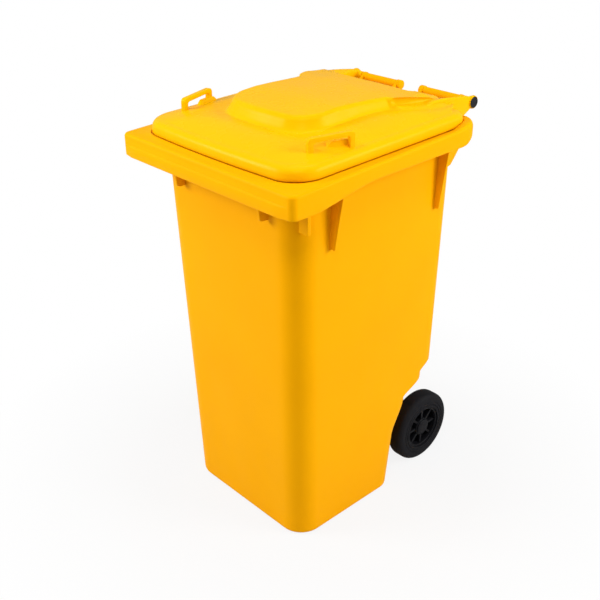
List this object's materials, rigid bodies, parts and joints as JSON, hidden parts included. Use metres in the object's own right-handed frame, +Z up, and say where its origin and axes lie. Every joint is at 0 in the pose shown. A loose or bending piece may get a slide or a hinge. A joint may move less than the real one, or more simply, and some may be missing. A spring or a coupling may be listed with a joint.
{
  "type": "wheelie bin",
  "caption": "Tall tapered refuse bin with a hinged lid, twin grips at the hinge, a lifting rim with gussets and rear wheels on a steel axle.",
  "frame": {"origin": "middle of the bounding box in plan, on the floor under the bin", "axes": "+Z up, -Y the front with the lifting rim, +Y the rear with the wheels and the lid hinge, +X the right-hand side seen in the picture"},
  "size_m": [0.58, 0.7, 1.051],
  "materials": {
    "bin_plastic": "moulded yellow polyethylene, satin",
    "lid_plastic": "moulded yellow polyethylene, satin",
    "pin_plastic": "moulded black plastic",
    "axle_steel": "drawn, zinc plated",
    "washer_steel": "stamped, zinc plated",
    "clip_steel": "stamped spring steel",
    "hub_plastic": "moulded black plastic",
    "bush_nylon": "turned nylon",
    "tyre_rubber": "solid rubber",
    "cap_plastic": "moulded black plastic"
  },
  "bodies": {
    "bin": {"bin_body": "bin_plastic", "hinge_pin_left": "pin_plastic", "hinge_pin_right": "pin_plastic", "axle": "axle_steel", "washer_left": "washer_steel", "washer_right": "washer_steel", "clip_left": "clip_steel", "clip_right": "clip_steel"},
    "lid_panel": {"lid": "lid_plastic"},
    "wheel_left": {"hub_left": "hub_plastic", "bush_left": "bush_nylon", "tyre_left": "tyre_rubber", "cap_left": "cap_plastic"},
    "wheel_right": {"hub_right": "hub_plastic", "bush_right": "bush_nylon", "tyre_right": "tyre_rubber", "cap_right": "cap_plastic"}
  },
  "joints": [
    {"name": "lid_hinge", "type": "hinge", "parent": "bin", "child": "lid_panel", "pos_m": [0, 0.333, 1], "axis": [-1, 0, 0], "range_deg": [0, 270]},
    {"name": "wheel_left_spin", "type": "hinge", "parent": "bin", "child": "wheel_left", "pos_m": [-0.171, 0.236, 0.1], "axis": [1, 0, 0], "continuous": true},
    {"name": "wheel_right_spin", "type": "hinge", "parent": "bin", "child": "wheel_right", "pos_m": [0.171, 0.236, 0.1], "axis": [1, 0, 0], "continuous": true}
  ]
}
